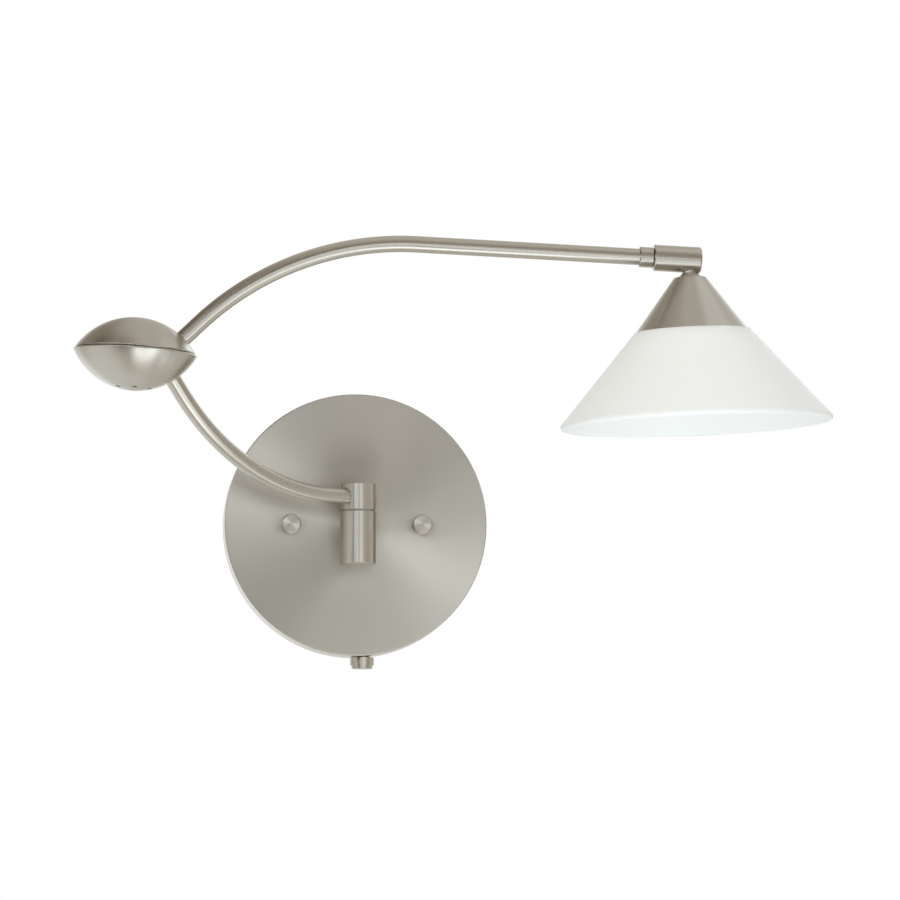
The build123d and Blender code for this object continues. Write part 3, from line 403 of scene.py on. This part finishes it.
# Lower arm: thin steel tube, polished round with a belt, bent cold and plated in satin nickel.
# It leaves the hub level, rises in one long bend and runs straight into the elbow.
def bent_tube(name, start, along, rise, slope, runs, bend):
    """A tube along a straight, a bend and a straight: a ring carried along the route, outer and inner wall.

    The route lies in the plane of along and rise and starts at slope. Its heading is the slope plus
    the distance into the bend over the bend's radius, and its place is the heading's sum over the length.
    """
    radius, turn = bend
    hand = np.sign(turn)
    sweep = abs(turn)
    length = runs[0] + radius * sweep + runs[1]
    step = np.linspace(0.0, length, 161)
    first = np.minimum(step, runs[0])
    turned = np.clip((step - runs[0]) / radius, 0.0, sweep)
    last = np.maximum(step - runs[0] - radius * sweep, 0.0)
    heading = slope + hand * turned
    reach = first * np.cos(slope) + hand * radius * (np.sin(heading) - np.sin(slope))
    reach = reach + last * np.cos(heading)
    lift = first * np.sin(slope) - hand * radius * (np.cos(heading) - np.cos(slope))
    lift = lift + last * np.sin(heading)
    there_and_back = np.concatenate((np.arange(len(step)), np.arange(len(step))[::-1]))
    wall = np.repeat((tube_radius, tube_radius - tube_wall), len(step))[:, None, None]
    route = np.array(start) + reach[:, None] * along + lift[:, None] * rise
    out = -np.sin(heading)[:, None] * along + np.cos(heading)[:, None] * rise
    side = np.cross(along, rise)
    around = np.linspace(0.0, 2 * np.pi, 65)
    ring = around[:-1][None, :, None]
    grid = route[there_and_back][:, None, :] + wall * (
        np.cos(ring) * out[there_and_back][:, None, :] + np.sin(ring) * side)
    piece = surface(name, grid, round_rows=True, round_columns=True)
    flat_ends = np.zeros((len(there_and_back), len(around) - 1), dtype=bool)
    flat_ends[[len(step) - 1, -1]] = True
    piece.data.polygons.foreach_set("use_smooth", ~flat_ends.ravel())
    distance = np.append(step[there_and_back], step[0])
    near, left = np.meshgrid(distance[:-1], around[:-1] * tube_radius, indexing="ij")
    far, right = np.meshgrid(distance[1:], around[1:] * tube_radius, indexing="ij")
    unrolled = np.stack((near, left, near, right, far, right, far, left), axis=-1)
    piece.data.uv_layers.new(name="unrolled").data.foreach_set("uv", unrolled.ravel())
    return piece


tube_radius = 0.00397
tube_wall = 0.001
lower_bearing = radians(51.3)
lower_along = np.array((-np.sin(lower_bearing), -np.cos(lower_bearing), 0.0))
tube_seat = 0.0044
arm_level = 0.0123
lower_start = np.array(hinge_line) + tube_seat * lower_along + (0.0, 0.0, arm_level)
lower_runs = (0.0191 - tube_seat, 0.0188)
lower_bend = (0.1245, radians(49.4))
lower_arm = bent_tube("lower_arm_tube", lower_start, lower_along, np.array(upright), 0.0,
                      lower_runs, lower_bend)
# Satin nickel on tube: fine marks round it draw a streak of light along it. They are 0.5 mm wide and
# 12 mm long, coarser than a real belt's, so that some still show.
tube_nickel, tree, shader = material_of("nickel_tube")
unrolled = add(tree, "ShaderNodeUVMap", uv_map="unrolled").outputs[0]
stretch = add(tree, "ShaderNodeMapping", {"Vector": unrolled,
                                          "Scale": (1 / 0.0005, 1 / 0.012, 1.0)}).outputs[0]
scratch = add(tree, "ShaderNodeTexNoise", {"Vector": stretch, "Scale": 1.0, "Detail": 3.0}).outputs["Fac"]
tone = add(tree, "ShaderNodeMix", {0: scratch, 6: linear("#C2BDB2"), 7: linear("#CBC6BB")}, data_type="RGBA")
tree.links.new(tone.outputs[2], shader.inputs["Base Color"])
gloss = add(tree, "ShaderNodeMapRange", {"Value": scratch, "To Min": 0.252, "To Max": 0.272}).outputs[0]
tree.links.new(gloss, shader.inputs["Roughness"])
relief = add(tree, "ShaderNodeBump", {"Height": scratch, "Strength": 0.05, "Distance": 0.00002})
tree.links.new(relief.outputs[0], shader.inputs["Normal"])
lengthwise = add(tree, "ShaderNodeTangent", direction_type="UV_MAP", uv_map="unrolled")
tree.links.new(lengthwise.outputs[0], shader.inputs["Tangent"])
shader.inputs["Metallic"].default_value = 1.0
shader.inputs["Anisotropic"].default_value = 0.74
lower_arm.data.materials.append(tube_nickel)
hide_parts("lower_arm")
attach(lower_arm, "lower_boom")

# Leads: two-core flex in a white sheath, drawn through the tubes.
# The sheath is extruded, so it is smooth and soft in its shine.
dress(moulded("lead_sheath", "#DEDCD6", "#E8E6E1", 0.45, 0.003), "lower_lead", "upper_lead")

# Elbow housing: two bowls spun from sheet, brushed as they turned, rim to rim with a fine seam.
# Each sits on its socket, and the upper one turns with the upper arm.
elbow_centre = (-0.1116514, -0.1234496, 0.0739529)
elbow_axis = (0.0679, 0.0037, 0.9977)
dress(spun_nickel("nickel_bowls", elbow_centre, elbow_axis, face=1.0),
      "lower_bowl", "upper_bowl")

# Elbow joint: sockets cast in zinc that clamp the tubes, turning on a hollow brass post.
# A nylon washer lies between them, and a spring washer and nut keep the drag.
dress(plated_steel("die_cast_zinc", "#84867F", "#9B9C96", 0.5, 0.0015), "lower_socket", "upper_socket")
dress(moulded("turned_nylon", "#E3DFD3", "#ECE9DF", 0.42, 0.0012, scatter=0.15), "elbow_washer")
dress(moulded("grey_nylon", "#8B887F", "#9A978E", 0.45, 0.0012), "pivot_washer")

# Upper arm: the same tube, straight out of the elbow, over in one bend and on in a long level run.
# Its far end is gripped by the swivel's collar.
upper_bearing = radians(3.1)
elbow_lean = radians(3.9)
run = np.array((np.cos(upper_bearing), np.sin(upper_bearing), 0.0))
elbow_up = np.cos(elbow_lean) * np.array(upright) + np.sin(elbow_lean) * run
elbow_out = np.cos(elbow_lean) * run - np.sin(elbow_lean) * np.array(upright)
socket_reach = 0.0179
socket_rise = 0.0032
exit_slope = 47.3
end_slope = 1.45
upper_start = np.array(elbow_centre) + socket_reach * elbow_out + socket_rise * elbow_up
upper_runs = (0.0175, 0.1108)
upper_bend = (0.1422, radians(end_slope - exit_slope))
upper_arm = bent_tube("upper_arm_tube", upper_start, elbow_out, elbow_up, radians(exit_slope),
                      upper_runs, upper_bend)
upper_arm.data.materials.append(tube_nickel)
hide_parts("upper_arm")
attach(upper_arm, "upper_boom")

# Swivel: a turned collar on the tube and a turned barrel that rolls on a spindle, with the head on it.
# Both are turned and brushed round their length.
swivel_origin = (0.1292717, -0.1104017, 0.1221377)
swivel_axis = (0.9976, 0.054, -0.0427)
dress(spun_nickel("nickel_swivel", swivel_origin, swivel_axis, roughness=0.245, lean=0.0, stretch=0.917),
      "swivel_collar", "swivel_barrel")

# Shade cap and stem cone: a cone spun from sheet, with a small turned cone between it and the swivel.
# The cap hides the glass's neck and is held by the nut on the stem.
stem_origin = (0.1535639, -0.1090861, 0.1210968)
stem_axis = (0.0427, 0.0023, -0.9991)
dress(spun_nickel("nickel_cap", stem_origin, stem_axis, lean=-37.2), "shade_cap", "stem_cone")

# Glass shade: opal glass blown in a mould and acid etched, white right through.
# It is matt and even, a little translucent, and hangs by its neck on the inner cup.
opal, tree, shader = material_of("etched_opal_glass")
place = add(tree, "ShaderNodeTexCoord").outputs["Object"]
cloud = add(tree, "ShaderNodeTexNoise", {"Vector": place, "Scale": 1 / 0.03, "Detail": 2.0}).outputs["Fac"]
etch = add(tree, "ShaderNodeTexNoise", {"Vector": place, "Scale": 1 / 0.0008, "Detail": 2.0}).outputs["Fac"]
tone = add(tree, "ShaderNodeMix", {0: cloud, 6: linear("#F0F1EB"), 7: linear("#F4F5EF")}, data_type="RGBA")
tree.links.new(tone.outputs[2], shader.inputs["Base Color"])
gloss = add(tree, "ShaderNodeMapRange", {"Value": etch, "To Min": 0.34, "To Max": 0.46}).outputs[0]
tree.links.new(gloss, shader.inputs["Roughness"])
relief = add(tree, "ShaderNodeBump", {"Height": etch, "Strength": 0.1, "Distance": 0.00002})
tree.links.new(relief.outputs[0], shader.inputs["Normal"])
shader.inputs["Subsurface Weight"].default_value = 0.5
shader.inputs["Subsurface Radius"].default_value = (0.005, 0.005, 0.005)
shader.inputs["Subsurface Scale"].default_value = 1.0
shader.inputs["IOR"].default_value = 1.5
dress(opal, "glass_shade")

# Inner cup: pressed steel in white stove enamel, which carries the glass and the lampholder.
# The enamel is thick and even, with a soft gloss.
dress(moulded("stove_enamel", "#EFEEEA", "#F4F3EF", 0.25, 0.006), "inner_cup")

# Lampholder and lamp: a glazed steatite holder with a small frosted halogen capsule on two wire pins.
# The holder hangs from the cup on two screws, and the capsule pushes into it.
dress(moulded("glazed_steatite", "#E6E1D6", "#F0ECE3", 0.35, 0.0012), "lampholder")
dress(moulded("frosted_lamp_glass", "#EDEFEF", "#F7F8F8", 0.4, 0.0006, scatter=0.6), "lamp")
dress(plated_steel("nickel_wire", "#BDB8AE", "#D2CEC5", 0.25, 0.001), "lamp_pins")
